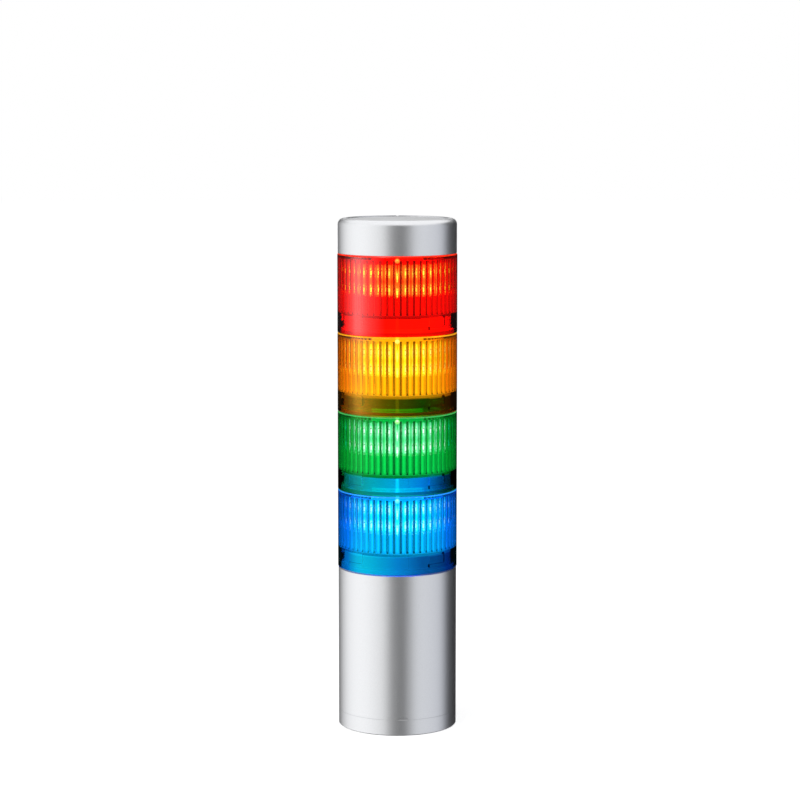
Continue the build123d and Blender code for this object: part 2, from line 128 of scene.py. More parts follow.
class StudioSettings(bpy.types.PropertyGroup):
    camera_place: bpy.props.FloatVectorProperty(
        name="Camera", description="Where the camera stands", subtype="TRANSLATION", size=3,
        default=(0.00133, -1.2487, 0.32))
    camera_tilt: bpy.props.FloatProperty(
        name="Camera tilt", description="How far the camera looks down", subtype="ANGLE",
        default=math.radians(7.066))
    camera_lens: bpy.props.FloatProperty(
        name="Focal length", description="Lens on a 36 mm wide sensor", default=112.65, unit="CAMERA")
    ambient: amount("Ambient", 0.55, "Grey light from all round")
    key: amount("Key lamp", 9.0, "Watts of the lamp on the left")
    floor_lift: amount("Floor lift", 0.49, "White added to the floor where the camera looks at it", 1.0)


# Materials


def add(tree, kind, inputs=None, **settings):
    """One shader node: settings are its properties, inputs its values or the sockets linked to them."""
    node = tree.nodes.new(kind)
    for name, value in settings.items():
        setattr(node, name, value)
    for socket, value in (inputs or {}).items():
        if isinstance(value, bpy.types.NodeSocket):
            tree.links.new(value, node.inputs[socket])
        else:
            node.inputs[socket].default_value = value
    return node


def stops(ramp, *places):
    """Places and colours along a colour ramp; a single number stands for a grey."""
    while len(ramp.color_ramp.elements) < len(places):
        ramp.color_ramp.elements.new(0.5)
    for element, (place, colour) in zip(ramp.color_ramp.elements, places):
        element.position = place
        element.color = (colour, colour, colour, 1) if isinstance(colour, (int, float)) else (*colour, 1)


def surface(name, colour, roughness, **sockets):
    """Material with a Principled shader whose even values sit on its own sockets."""
    material = bpy.data.materials.new(name)
    material.use_nodes = True
    tree = material.node_tree
    shader = tree.nodes["Principled BSDF"]
    shader.inputs["Base Color"].default_value = (*colour, 1)
    shader.inputs["Roughness"].default_value = roughness
    for socket, value in sockets.items():
        shader.inputs[socket.replace("_", " ")].default_value = value
    return material, tree, shader


def grain(tree, shader, size, colours, roughness, depth, detail=3.0):
    """Noise of a real size that shifts colour and roughness a little and roughens the surface."""
    place = add(tree, "ShaderNodeTexCoord").outputs["Object"]
    noise = add(tree, "ShaderNodeTexNoise", {"Vector": place, "Scale": 1 / size, "Detail": detail})
    tone = add(tree, "ShaderNodeValToRGB", {"Fac": noise.outputs["Fac"]})
    stops(tone, (0.35, colours[0]), (0.65, colours[1]))
    sheen = add(tree, "ShaderNodeMapRange", {
        "Value": noise.outputs["Fac"], "From Min": 0.3, "From Max": 0.7,
        "To Min": roughness[0], "To Max": roughness[1]})
    bump = add(tree, "ShaderNodeBump", {"Height": noise.outputs["Fac"], "Strength": 0.6, "Distance": depth})
    tree.links.new(tone.outputs["Color"], shader.inputs["Base Color"])
    tree.links.new(sheen.outputs["Result"], shader.inputs["Roughness"])
    tree.links.new(bump.outputs["Normal"], shader.inputs["Normal"])


def shade(colour, share):
    """A colour, or a grey given as one number, made darker or lighter by a share."""
    if isinstance(colour, (int, float)):
        colour = (colour,) * 3
    return tuple(min(1.0, c * share) for c in colour)


def silver_lacquer():
    """Satin aluminium-flake lacquer sprayed on moulded ABS: a soft metal sheen, finely grained.
    Real flakes are 0.02 mm; they are drawn coarser, so that they show."""
    silver = bpy.context.scene.silver_look
    paint = tuple(silver.paint)
    material, tree, shader = surface("satin_silver_lacquer", paint, silver.roughness, Metallic=1.0)
    grain(tree, shader, silver.flake, (shade(paint, 0.96), shade(paint, 1.03)),
          (silver.roughness - 0.03, silver.roughness + 0.03), 0.002 * MM)
    return material


def painted_neck_glow(tree, owner, place):
    """Colour of the painted glow in a neck or its seal, with painted light making it brighter on the left
    side.
    """
    # Painted light: the glow changes from left to right across the neck
    side = add(tree, "ShaderNodeSeparateXYZ", {"Vector": place}).outputs["X"]
    share = add(tree, "ShaderNodeMapRange", {"Value": side, "From Min": -NECK_REACH, "From Max": NECK_REACH})
    ramp = add(tree, "ShaderNodeValToRGB", {"Fac": share.outputs["Result"]})
    stops(ramp, *[((x / NECK_REACH + 1) / 2, colour) for x, colour in zip(NECK_PLACES, PAINTED_NECK_GLOW[owner])])
    return ramp.outputs["Color"]


def polycarbonate(tier):
    """Injection-moulded clear polycarbonate: deep tint, darkened towards the silhouette as painted shade,
    polished, with a very faint moulding ripple and a painted glow.
    """
    globes = bpy.context.scene.globe_look
    colour = tuple(getattr(globes, tier))
    material, tree, shader = surface(
        f"clear_polycarbonate_{tier}", colour, globes.roughness, IOR=1.585, Transmission_Weight=1.0)
    place = add(tree, "ShaderNodeTexCoord").outputs["Object"]
    ripple = add(tree, "ShaderNodeTexNoise", {
        "Vector": place, "Scale": 1 / globes.ripple, "Detail": 2.0})
    sheen = add(tree, "ShaderNodeMapRange", {
        "Value": ripple.outputs["Fac"], "To Min": 0.5 * globes.roughness, "To Max": 1.5 * globes.roughness})
    bump = add(tree, "ShaderNodeBump", {
        "Height": ripple.outputs["Fac"], "Strength": 0.5, "Distance": 0.02 * MM})
    tree.links.new(sheen.outputs["Result"], shader.inputs["Roughness"])
    tree.links.new(bump.outputs["Normal"], shader.inputs["Normal"])
    # Darker tint towards the silhouette: partly the longer path through the wall, partly painted shade
    slant = add(tree, "ShaderNodeLayerWeight", {"Blend": 0.5})
    depth = add(tree, "ShaderNodeValToRGB", {"Fac": slant.outputs["Facing"]})
    deep = linear(SLANT_TINT_AND_SHADE[tier])
    stops(depth, (0.0, colour), (0.12, shade(colour, 0.95)), (0.45, deep), (0.8, shade(deep, 0.2)))
    tree.links.new(depth.outputs["Color"], shader.inputs["Base Color"])
    # Painted glow on the ribs, rim and neck, with painted highlights on the bead and down the neck's front
    paint_mould_glow(tree, shader, tier, place)
    return material


def paint_mould_glow(tree, shader, tier, place):
    """Painted glow in a clear moulding, which is no lamp: emission on its rib crests, rim and neck, with a
    painted highlight stripe down the neck's front and a painted highlight at the bead.
    """
    height = add(tree, "ShaderNodeSeparateXYZ", {"Vector": place}).outputs["Z"]
    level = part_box(f"{tier}_globe")[0].z
    share = add(tree, "ShaderNodeMapRange", {
        "Value": height, "From Min": level, "From Max": level + BANDS_TOP * MM})
    band = add(tree, "ShaderNodeValToRGB", {"Fac": share.outputs["Result"]})
    stops(band, *[(up / BANDS_TOP, PAINTED_MOULD_GLOW[tier].get(name, NO_LIGHT)) for up, name in BANDS])
    flat = add(tree, "ShaderNodeVectorMath", {0: place, 1: (1, 1, 0)}, operation="MULTIPLY")
    radius = add(tree, "ShaderNodeVectorMath", {0: flat.outputs["Vector"]}, operation="LENGTH")
    # Painted glow, strongest on the rib crests
    crest = add(tree, "ShaderNodeMapRange", {
        "Value": radius.outputs["Value"], "From Min": RIB_FLANK, "From Max": RIB_CREST,
        "To Min": WALL_SHARE, "To Max": 1.0})
    shoulder = add(tree, "ShaderNodeMath", {0: height, 1: level + SHOULDER}, operation="GREATER_THAN")
    # Painted highlight on the bead at the globe's front
    from_bead = add(tree, "ShaderNodeVectorMath", {0: place, 1: (0, -BEAD_AT, level + BEAD_UP)},
                    operation="DISTANCE")
    bead = add(tree, "ShaderNodeMapRange", {
        "Value": from_bead.outputs["Value"], "From Min": BEAD_EDGE, "From Max": BEAD_FULL})
    # Painted highlight: a bright stripe down the neck's front
    to_stripe = add(tree, "ShaderNodeVectorMath", {0: place, 1: (0, -BEAD_AT, 0)}, operation="SUBTRACT")
    stripe_offset = add(tree, "ShaderNodeVectorMath", {0: to_stripe.outputs["Vector"], 1: PAINTED_STRIPE_WEIGHTS},
                    operation="MULTIPLY")
    aside = add(tree, "ShaderNodeVectorMath", {0: stripe_offset.outputs["Vector"]}, operation="LENGTH")
    painted_stripe = add(tree, "ShaderNodeMapRange", {
        "Value": aside.outputs["Value"], "From Min": PAINTED_STRIPE_EDGE, "From Max": PAINTED_STRIPE_FULL,
        "To Min": 1.0, "To Max": PAINTED_STRIPE_GLOW})
    necks = add(tree, "ShaderNodeMath", {0: shoulder.outputs[0], 1: painted_stripe.outputs["Result"]},
                operation="MULTIPLY")
    lit = add(tree, "ShaderNodeMath", {0: crest.outputs["Result"], 1: necks.outputs[0]}, operation="MAXIMUM")
    both = add(tree, "ShaderNodeMath", {0: lit.outputs[0], 1: bead.outputs["Result"]}, operation="MAXIMUM")
    glow = add(tree, "ShaderNodeMath", {0: both.outputs[0], 1: bpy.context.scene.globe_look.painted_edge_glow},
               operation="MULTIPLY")
    in_neck = add(tree, "ShaderNodeMath", {0: height, 1: level + NECK_FROM}, operation="GREATER_THAN")
    along = add(tree, "ShaderNodeMix", {
        0: in_neck.outputs[0], 6: band.outputs["Color"], 7: painted_neck_glow(tree, tier, place)}, data_type="RGBA")
    hue = add(tree, "ShaderNodeMix", {
        0: bead.outputs["Result"], 6: along.outputs[2], 7: (*PAINTED_MOULD_GLOW[tier]["bead"], 1)}, data_type="RGBA")
    tree.links.new(hue.outputs[2], shader.inputs["Emission Color"])
    tree.links.new(glow.outputs[0], shader.inputs["Emission Strength"])


# Radii where a rib's painted glow starts, on its flank, and where it is full, on its crest
RIB_FLANK = 26.2 * MM
RIB_CREST = 25.95 * MM
# How much of the ribs' painted glow the wall between them takes up
WALL_SHARE = 0.04
# Heights in a globe where its shoulder's rim and its neck start
SHOULDER = 38.9 * MM
NECK_FROM = 39.8 * MM
# The bead on a globe's front: how far out and up it sits, and how far round it its painted highlight starts
# and is full
BEAD_AT = 29.15 * MM
BEAD_UP = 37.5 * MM
BEAD_EDGE = 1.7 * MM
BEAD_FULL = 1.2 * MM
# A painted highlight stripe down a neck's front: how far beside it the painted glow starts and is full, how
# strong it is, and how much a step sideways, a step outwards and a step up count in that distance
PAINTED_STRIPE_EDGE = 1.2 * MM
PAINTED_STRIPE_FULL = 0.8 * MM
PAINTED_STRIPE_GLOW = 2.3
PAINTED_STRIPE_WEIGHTS = (1, 0.25, 0)
# Tint where light goes through the wall at a slant, and so through more of it; towards the silhouette it
# darkens far more than that, as painted shade
SLANT_TINT_AND_SHADE = {"red": "#c80400", "amber": "#b85a08", "green": "#00701c", "blue": "#0448c8"}
# Where along a globe's height, in mm, which of the painted glows below shows, and the height that they reach
# up to
BANDS = ((0, "none"), (10.5, "none"), (12, "ribs"), (34, "ribs"), (38.5, "none"), (38.9, "rim"))
BANDS_TOP = 50
# Painted glow in a clear moulding, as shares of the strongest: in its ribs, at its shoulder's rim, and a
# painted highlight in the bead on its front
PAINTED_MOULD_GLOW = {
    "red": {"ribs": (0.16, 0.004, 0.001), "rim": (0.12, 0.005, 0.001), "bead": (0.22, 0.09, 0.01)},
    "amber": {"ribs": (0.2, 0.085, 0.002), "rim": (0.12, 0.06, 0.002), "bead": (0.22, 0.19, 0.04)},
    "green": {"ribs": (0.005, 0.13, 0.035), "rim": (0.01, 0.07, 0.018), "bead": (0.13, 0.2, 0.08)},
    "blue": {"ribs": (0.003, 0.1, 0.18), "rim": (0.005, 0.045, 0.11), "bead": (0.04, 0.16, 0.22)},
}
# Painted glow of each neck inside the next skirt, whose tint dims it: mostly brighter on the left side, as
# painted light. Its colour at four places from left to right, and how far to each side it changes
NECK_PLACES = (-18 * MM, 0, 12 * MM, 22 * MM)
NECK_REACH = 25 * MM
PAINTED_NECK_GLOW = {
    "body": ((0.05, 0.24, 0.2), (0.05, 0.1, 0.17), (0.04, 0.035, 0.08), (0.04, 0.03, 0.06)),
    "blue": ((0.006, 0.1, 0.42), (0.012, 0.09, 0.75), (0.012, 0.05, 0.75), (0.003, 0.015, 0.2)),
    "green": ((0.048, 0.03, 0.003), (0.012, 0.014, 0.003), (0.001, 0.008, 0.002), (0.008, 0.006, 0.001)),
    "amber": ((0.22, 0.1, 0.002),) * 4,
    "red": ((0.25, 0.01, 0.003),) * 4,
}
NO_LIGHT = (0, 0, 0)


def white_moulding(tier):
    """White moulded ABS with a painted glow for the LEDs' light, brighter higher up: fine spark-eroded grain,
    0.3 mm.
    """
    leds = bpy.context.scene.led_look
    white = linear("#ecebe6")
    material, tree, shader = surface(f"white_abs_{tier}", white, 0.5, IOR=1.53)
    grain(tree, shader, 0.3 * MM, (shade(white, 0.97), white), (0.42, 0.55), 0.004 * MM)
    place = add(tree, "ShaderNodeTexCoord").outputs["Object"]
    height = add(tree, "ShaderNodeSeparateXYZ", {"Vector": place}).outputs["Z"]
    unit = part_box(f"{tier}_globe")[0].z
    # Painted glow on a part that is no lamp, rising from dim below the LEDs to full
    glow = add(tree, "ShaderNodeMapRange", {
        "Value": height, "From Min": unit + HOLDER_DIM_UP, "From Max": unit + HOLDER_LIT_UP,
        "To Min": HOLDER_DIM * leds.holder_glow, "To Max": leds.holder_glow})
    shader.inputs["Emission Color"].default_value = (*LED_AND_PAINTED_GLOW[tier]["far"], 1)
    tree.links.new(glow.outputs["Result"], shader.inputs["Emission Strength"])
    return material


# Heights in a unit where its holder's painted glow is dimmest, below the LEDs, and full, and that painted
# glow's share where dimmest
HOLDER_DIM_UP = 9 * MM
HOLDER_LIT_UP = 20 * MM
HOLDER_DIM = 0.7


def tracks(tree, shader, place, colour):
    """Copper tracks 1.2 mm apart, raised a little under the solder mask."""
    rows = add(tree, "ShaderNodeTexBrick", {
        "Vector": place, "Color1": (*colour, 1), "Color2": (*shade(colour, 1.12), 1),
        "Mortar": (*shade(colour, 0.8), 1), "Scale": 1.0, "Mortar Size": 0.25 * MM,
        "Brick Width": 4.2 * MM, "Row Height": 1.2 * MM})
    bump = add(tree, "ShaderNodeBump", {
        "Height": rows.outputs["Fac"], "Strength": 0.4, "Distance": 0.03 * MM})
    tree.links.new(rows.outputs["Color"], shader.inputs["Base Color"])
    tree.links.new(bump.outputs["Normal"], shader.inputs["Normal"])


def solder_mask(name, hex_colour):
    """Glass-epoxy board under glossy solder mask."""
    colour = linear(hex_colour)
    material, tree, shader = surface(name, colour, 0.35, IOR=1.5)
    tracks(tree, shader, add(tree, "ShaderNodeTexCoord").outputs["Object"], colour)
    return material


def led_board(tier):
    """Board under white solder mask with a painted glow, a pool of light in a round patch about each LED."""
    leds = bpy.context.scene.led_look
    colour = linear(WHITE_MASK)
    material, tree, shader = surface(f"white_solder_mask_{tier}", colour, 0.35, IOR=1.5)
    place = add(tree, "ShaderNodeTexCoord").outputs["Object"]
    tracks(tree, shader, place, colour)
    low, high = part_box(f"{tier}_led_chips")
    split = add(tree, "ShaderNodeSeparateXYZ", {"Vector": place})
    angle = add(tree, "ShaderNodeMath", {0: split.outputs["Y"], 1: split.outputs["X"]}, operation="ARCTAN2")
    aside = add(tree, "ShaderNodeMath", {0: angle.outputs[0], 1: math.pi / LED_COLUMNS}, operation="PINGPONG")
    across = add(tree, "ShaderNodeMath", {0: aside.outputs[0], 1: -low.y}, operation="MULTIPLY")
    above = add(tree, "ShaderNodeMath", {0: split.outputs["Z"], 1: (low.z + high.z) / 2},
                operation="SUBTRACT")
    either = add(tree, "ShaderNodeMath", {0: above.outputs[0]}, operation="ABSOLUTE")
    along = add(tree, "ShaderNodeMath", {0: either.outputs[0], 1: (high.z - low.z - LED_HEIGHT) / 2},
                operation="SUBTRACT")
    from_led = add(tree, "ShaderNodeCombineXYZ", {"X": across.outputs[0], "Y": along.outputs[0]})
    distance = add(tree, "ShaderNodeVectorMath", {0: from_led.outputs[0]}, operation="LENGTH")
    # Painted pool of light about each LED, brightest at its middle
    share = add(tree, "ShaderNodeMapRange", {"Value": distance.outputs["Value"], "From Max": PAINTED_HALO_RADIUS})
    painted_halo = add(tree, "ShaderNodeValToRGB", {"Fac": share.outputs["Result"]})
    peak = max(LED_AND_PAINTED_GLOW[tier]["hot"])
    stops(painted_halo, *[(spot, shade(LED_AND_PAINTED_GLOW[tier][name], power / peak)) for spot, name, power in PAINTED_HALO])
    tree.links.new(painted_halo.outputs["Color"], shader.inputs["Emission Color"])
    shader.inputs["Emission Strength"].default_value = peak * leds.board_painted_glow
    return material


WHITE_MASK = "#e9e9e4"
# LEDs round a board, an LED's size, and the steps from its frame's rim to its lens: width of each, and how
# much of the dome's height it rises
LED_COLUMNS = 8
LED_WIDTH = 3.4 * MM
LED_DEPTH = 1.6 * MM
LED_HEIGHT = 2.9 * MM
LED_STEPS = ((0.45 * MM, 0), (0.25 * MM, 0.6), (0.35 * MM, 0.4))
# Radius of the painted glow about each LED
PAINTED_HALO_RADIUS = 7 * MM
# How the painted glow about an LED falls off: share of the glow's radius, light, and how strong it is there
PAINTED_HALO = ((0.0, "hot", 1.0), (0.28, "hot", 0.7), (0.4, "near", 1.0), (0.6, "near", 0.8), (0.85, "near", 0.25),
        (1.0, "far", 1.0))
# Light inside a unit, before the globe's tint: on an LED, which is the lamp, and the painted glow close to it
# and further off, on the boards and holders. Light that burns out in a photograph turns pale, so the hot
# light is strongest in the hues that its globe lets least of through
LED_AND_PAINTED_GLOW = {
    "red": {"far": (0.72, 0.22, 0.18), "near": (1.0, 34, 5), "hot": (1.5, 240, 34)},
    "amber": {"far": (0.7, 0.6, 0.15), "near": (1.05, 1.7, 1.0), "hot": (1.3, 2.2, 10)},
    "green": {"far": (0.1, 0.5, 0.34), "near": (19, 1.5, 3.6), "hot": (130, 2.6, 11)},
    "blue": {"far": (0.1, 0.55, 0.62), "near": (0.5, 1.6, 1.15), "hot": (64, 3, 1.5)},
}


def moulded_plastic(name, hex_colour, roughness=0.45):
    """Injection-moulded thermoplastic with a spark-eroded grain of 0.4 mm."""
    colour = linear(hex_colour)
    material, tree, shader = surface(name, colour, roughness, IOR=1.53)
    grain(tree, shader, 0.4 * MM, (shade(colour, 0.94), shade(colour, 1.05)),
          (roughness - 0.05, roughness + 0.08), 0.006 * MM)
    return material


def silicone(owner):
    """Milky silicone seal with a painted glow like that of the clear moulding it sits in."""
    colour = linear("#d8dadc")
    material, tree, shader = surface(f"milky_silicone_{owner}", colour, 0.5, IOR=1.41)
    grain(tree, shader, 1.5 * MM, (shade(colour, 0.9), colour), (0.45, 0.6), 0.01 * MM)
    # Painted glow: the seal is no lamp
    paint_neck_glow(tree, shader, owner)
    return material


def paint_neck_glow(tree, shader, owner):
    """Paints a glow on a seal, or the body's neck, like that of the clear mouldings round it."""
    place = add(tree, "ShaderNodeTexCoord").outputs["Object"]
    tree.links.new(painted_neck_glow(tree, owner, place), shader.inputs["Emission Color"])
    shader.inputs["Emission Strength"].default_value = bpy.context.scene.globe_look.painted_edge_glow


def rubber(name, hex_colour):
    """Moulded EPDM: dull, nearly black, with a powdery bloom a few millimetres wide."""
    colour = linear(hex_colour)
    material, tree, shader = surface(name, colour, 0.75, IOR=1.52)
    grain(tree, shader, 3 * MM, (shade(colour, 0.85), shade(colour, 1.3)), (0.7, 0.85), 0.01 * MM)
    return material


def metal(name, hex_colour, roughness, size):
    """Bare or plated metal with turning and handling marks of a given size."""
    colour = linear(hex_colour)
    material, tree, shader = surface(name, colour, roughness, Metallic=1.0)
    grain(tree, shader, size, (shade(colour, 0.92), colour), (roughness - 0.05, roughness + 0.08), 0.004 * MM)
    return material


def led_silicone(tier):
    """Clear silicone over a lit LED die: bright enough to burn out in a photograph."""
    leds = bpy.context.scene.led_look
    peak = max(LED_AND_PAINTED_GLOW[tier]["hot"])
    material, tree, shader = surface(f"led_silicone_{tier}", (0.8, 0.8, 0.75), 0.15, IOR=1.41)
    place = add(tree, "ShaderNodeTexCoord").outputs["Object"]
    noise = add(tree, "ShaderNodeTexNoise", {"Vector": place, "Scale": 1 / (0.8 * MM)})
    glow = add(tree, "ShaderNodeMapRange", {
        "Value": noise.outputs["Fac"],
        "To Min": 0.8 * peak * leds.chip_glow, "To Max": 1.2 * peak * leds.chip_glow})
    shader.inputs["Emission Color"].default_value = (*shade(LED_AND_PAINTED_GLOW[tier]["hot"], 1 / peak), 1)
    tree.links.new(glow.outputs["Result"], shader.inputs["Emission Strength"])
    return material


# Pieces


def ready(name, shape, materials, body, replaced=()):
    """Object made from a bmesh, riding on a body and standing for CAD nodes."""
    mesh = bpy.data.meshes.new(name)
    shape.to_mesh(mesh)
    shape.free()
    for material in materials:
        mesh.materials.append(material)
    piece = bpy.data.objects.new(name, mesh)
    bpy.context.scene.collection.objects.link(piece)
    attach(piece, body)
    if replaced:
        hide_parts(*replaced)
    return piece


def smooth_copy(node, material, sharp=35.0):
    """Merged copy of a CAD node with smooth round faces and crisp or lightly rounded edges."""
    shape = bmesh.new()
    shape.from_mesh(frame["nodes"][node].data)
    bmesh.ops.remove_doubles(shape, verts=shape.verts, dist=0.002 * MM)
    bmesh.ops.dissolve_degenerate(shape, edges=shape.edges, dist=0.001 * MM)
    for edge in shape.edges:
        edge.smooth = len(edge.link_faces) == 2 and edge.calc_face_angle(0) < math.radians(sharp)
    for face in shape.faces:
        face.smooth = True
        face.material_index = 0
    piece = ready(f"{node}_skin", shape, [material], BODY_OF[node], [node])
    if "custom_normal" in piece.data.attributes:
        piece.data.attributes.remove(piece.data.attributes["custom_normal"])
    return piece


def finish_node(node, material):
    """Gives a CAD node its material."""
    slots = frame["nodes"][node].material_slots
    if not slots:
        raise RuntimeError(f"{node} has no material slot")
    for slot in slots:
        slot.material = material


class STACKLIGHT_OT_globes(bpy.types.Operator):
    """Makes the four clear ribbed globes, smooth in the round and crisp along their slots"""
    bl_idname = "stack_light.globes"
    bl_label = "Globes"
    bl_options = {"REGISTER", "UNDO"}

    def execute(self, context):
        for tier in TIERS:
            smooth_copy(f"{tier}_globe", polycarbonate(tier), sharp=40.0)
        return {"FINISHED"}


class STACKLIGHT_OT_light_engines(bpy.types.Operator):
    """Makes each unit's white holder, LED board and lit LEDs"""
    bl_idname = "stack_light.light_engines"
    bl_label = "LED units"
    bl_options = {"REGISTER", "UNDO"}

    def execute(self, context):
        for tier in TIERS:
            smooth_copy(f"{tier}_led_holder", white_moulding(tier))
            finish_node(f"{tier}_led_board", led_board(tier))
            frame["nodes"][f"{tier}_led_board"].visible_diffuse = False
            self.chips(context, tier)
        return {"FINISHED"}

    def chips(self, context, tier):
        """Sixteen LEDs: white moulded frames with a stepped lens of clear silicone."""
        low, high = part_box(f"{tier}_led_chips")
        leds = context.scene.led_look
        shape = bmesh.new()
        for row in (high.z - LED_HEIGHT / 2, low.z + LED_HEIGHT / 2):
            for turn in range(LED_COLUMNS):
                facing = Matrix.Rotation(turn * 2 * math.pi / LED_COLUMNS, 4, "Z")
                seat = Matrix.Translation((0, low.y + LED_DEPTH / 2, row))
                self.chip(shape, leds.dome_height, facing @ seat)
        frame_finish = moulded_plastic(f"led_frame_ppa_{tier}", "#f2f1ec", 0.4)
        piece = ready(f"{tier}_leds", shape, [frame_finish, led_silicone(tier)],
                      BODY_OF[f"{tier}_led_chips"], [f"{tier}_led_chips"])
        piece.visible_diffuse = False

    def chip(self, shape, dome, place):
        """One LED: a frame, and a lens that rises from it in steps, made at the origin and put in place."""
        made = bmesh.ops.create_cube(shape, size=1.0)["verts"]
        bmesh.ops.scale(shape, vec=(LED_WIDTH, LED_DEPTH - dome, LED_HEIGHT), verts=made)
        bmesh.ops.translate(shape, vec=(0, dome / 2, 0), verts=made)
        front = min((f for f in shape.faces if f.verts[0] in made and f.normal.y < -0.5),
                    key=lambda f: f.calc_center_median().y)
        for inset, rise in LED_STEPS:
            bmesh.ops.inset_region(shape, faces=[front], thickness=inset, depth=rise * dome)
        grown = set()
        todo = list(made)
        while todo:
            vert = todo.pop()
            if vert in grown:
                continue
            grown.add(vert)
            todo.extend(e.other_vert(vert) for e in vert.link_edges)
        for face in {f for v in grown for f in v.link_faces}:
            face.material_index = 1 if face.calc_center_median().y < -LED_DEPTH / 2 + dome - 0.01 * MM else 0
            face.smooth = face.material_index == 1
        bmesh.ops.transform(shape, matrix=place, verts=list(grown))


class STACKLIGHT_OT_silver(bpy.types.Operator):
    """Makes the silver head, case and foot"""
    bl_idname = "stack_light.silver"
    bl_label = "Silver parts"
    bl_options = {"REGISTER", "UNDO"}

    def execute(self, context):
        lacquer = silver_lacquer()
        for node in SILVER_NODES:
            smooth_copy(node, lacquer, sharp=30.0)
        return {"FINISHED"}


class STACKLIGHT_OT_necks(bpy.types.Operator):
    """Finishes the body's neck, the silicone seals, and the rubber grommet and gasket"""
    bl_idname = "stack_light.necks"
    bl_label = "Neck and seals"
    bl_options = {"REGISTER", "UNDO"}

    def execute(self, context):
        grey = moulded_plastic("grey_abs", "#8e9194")
        # Painted glow on the grey neck, brighter on the left side
        paint_neck_glow(grey.node_tree, grey.node_tree.nodes["Principled BSDF"], "body")
        smooth_copy("body_neck", grey)
        black = rubber("black_epdm", "#1a1a1b")
        for owner in ("body",) + TIERS:
            smooth_copy(f"{owner}_seal", silicone(owner))
        smooth_copy("cable_grommet", black)
        finish_node("base_gasket", black)
        return {"FINISHED"}


class STACKLIGHT_OT_contacts(bpy.types.Operator):
    """Finishes the driver and contact boards, their pins, pads and screws"""
    bl_idname = "stack_light.contacts"
    bl_label = "Contacts"
    bl_options = {"REGISTER", "UNDO"}

    def execute(self, context):
        board = solder_mask("green_solder_mask", "#1f6b3c")
        gold = metal("gold_flash_on_brass", "#d9b45a", 0.25, 0.5 * MM)
        zinc = metal("zinc_plated_steel", "#b8bcc0", 0.3, 0.6 * MM)
        for tier in TIERS:
            finish_node(f"{tier}_driver_board", board)
            finish_node(f"{tier}_contact_pins", gold)
            finish_node(f"{tier}_screws", zinc)
        for owner in ("body",) + TIERS:
            finish_node(f"{owner}_contact_board", board)
            finish_node(f"{owner}_contact_pads", gold)
        for screws in ("body_board_screws", "tie_screws", "terminal_screws"):
            finish_node(screws, zinc)
        finish_node("mount_inserts", metal("brass", "#c9a44c", 0.3, 0.5 * MM))
        return {"FINISHED"}


class STACKLIGHT_OT_main_board(bpy.types.Operator):
    """Finishes the main board and what stands on it"""
    bl_idname = "stack_light.main_board"
    bl_label = "Main board"
    bl_options = {"REGISTER", "UNDO"}

    def execute(self, context):
        finish_node("main_board", solder_mask("main_board_solder_mask", "#1d6338"))
        finish_node("terminal_block", moulded_plastic("green_polyamide", "#2f7d45"))
        finish_node("line_header", moulded_plastic("black_lcp", "#1e1e20", 0.4))
        finish_node("choke", moulded_plastic("dark_ferrite", "#2c2a2b", 0.6))
        smooth_copy("capacitors", moulded_plastic("pvc_sleeve", "#20242c", 0.3))
        return {"FINISHED"}


